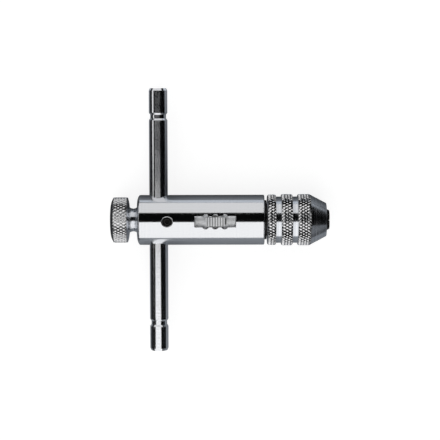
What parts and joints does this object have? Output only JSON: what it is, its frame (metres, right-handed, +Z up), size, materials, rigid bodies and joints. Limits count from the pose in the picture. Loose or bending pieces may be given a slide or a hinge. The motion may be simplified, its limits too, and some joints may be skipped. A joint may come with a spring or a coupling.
{
  "type": "ratchet tap wrench",
  "caption": "Ratchet tap wrench: knurled chuck with V jaws, reversing switch in a scalloped window, and a sliding cross bar held by a clamp screw.",
  "frame": {"origin": "centre of the jaws' front face, on the tool's axis", "axes": "+X along the tool's axis out of the jaws, +Y along the sliding bar, +Z up through the switch window"},
  "size_m": [0.083, 0.1, 0.0194],
  "materials": {
    "polished_chrome": "polished, lightly brushed",
    "bar_chrome": "satin chrome",
    "knurled_chrome": "matt chrome, knurled",
    "matt_nickel": "matt",
    "black_steel": "black oxide",
    "hardened_steel": "ground",
    "spring_steel": "drawn",
    "bearing_brass": "turned"
  },
  "bodies": {
    "housing": {"body_shell": "polished_chrome", "pawl_carrier": "hardened_steel", "pawl_pin": "hardened_steel", "retaining_ring": "spring_steel", "detent_ball": "hardened_steel", "detent_spring": "spring_steel", "detent_screw": "black_steel", "thrust_washer": "bearing_brass"},
    "bar": {"sliding_bar": "bar_chrome"},
    "pad": {"clamp_pad": "bearing_brass"},
    "screw": {"clamp_screw": "knurled_chrome"},
    "switch": {"switch_slider": "matt_nickel", "switch_detent_springs": "spring_steel", "switch_plunger": "hardened_steel", "plunger_spring": "spring_steel"},
    "rocker": {"rocker_pawl": "hardened_steel"},
    "spindle": {"spindle": "black_steel", "ratchet_wheel_rear": "hardened_steel", "ratchet_wheel_front": "hardened_steel", "wheel_spacer": "hardened_steel", "wheel_clip": "spring_steel", "jaw_spring": "spring_steel"},
    "stop_ring": {"sleeve_stop_ring": "spring_steel"},
    "sleeve": {"chuck_sleeve": "knurled_chrome"},
    "jaw_up": {"jaw_upper": "black_steel"},
    "jaw_down": {"jaw_lower": "black_steel"}
  },
  "joints": [
    {"name": "bar_slide", "type": "slide", "parent": "housing", "child": "bar", "axis": [0, 1, 0], "range_m": [-0.0393, 0.0393]},
    {"name": "clamp_feed", "type": "slide", "parent": "housing", "child": "pad", "axis": [1, 0, 0], "range_m": [-0.002, 0]},
    {"name": "clamp_turn", "type": "hinge", "parent": "pad", "child": "screw", "pos_m": [-0.07285, 0, 0], "axis": [1, 0, 0], "range_deg": [-720, 0]},
    {"name": "switch_slide", "type": "slide", "parent": "housing", "child": "switch", "axis": [1, 0, 0], "range_m": [-0.0036, 0.0036], "deforming": ["switch_detent_springs"]},
    {"name": "rocker_tilt", "type": "hinge", "parent": "housing", "child": "rocker", "pos_m": [-0.0433, 0, 0.00495], "axis": [0, 1, 0], "range_deg": [-4.01, 4.01]},
    {"name": "spindle_turn", "type": "hinge", "parent": "housing", "child": "spindle", "pos_m": [0, 0, 0], "axis": [1, 0, 0], "continuous": true},
    {"name": "sleeve_feed", "type": "slide", "parent": "spindle", "child": "stop_ring", "axis": [1, 0, 0], "range_m": [0, 0.00464]},
    {"name": "sleeve_turn", "type": "hinge", "parent": "stop_ring", "child": "sleeve", "pos_m": [0, 0, 0], "axis": [1, 0, 0], "range_deg": [0, 1669.33]},
    {"name": "jaw_up_slide", "type": "slide", "parent": "spindle", "child": "jaw_up", "axis": [0, 1, 0], "range_m": [0, 0.00219], "deforming": ["jaw_spring"]},
    {"name": "jaw_down_slide", "type": "slide", "parent": "spindle", "child": "jaw_down", "axis": [0, -1, 0], "range_m": [0, 0.00219]}
  ],
  "couplings": [
    {"joint": "clamp_turn", "follows": "clamp_feed", "rad_per_m": 6283.2},
    {"joint": "rocker_tilt", "follows": "switch_slide", "rad_per_m": 19.393},
    {"joint": "sleeve_turn", "follows": "sleeve_feed", "rad_per_m": 6283.2},
    {"joint": "jaw_up_slide", "follows": "sleeve_feed", "ratio": 0.4727},
    {"joint": "jaw_down_slide", "follows": "sleeve_feed", "ratio": 0.4727}
  ]
}
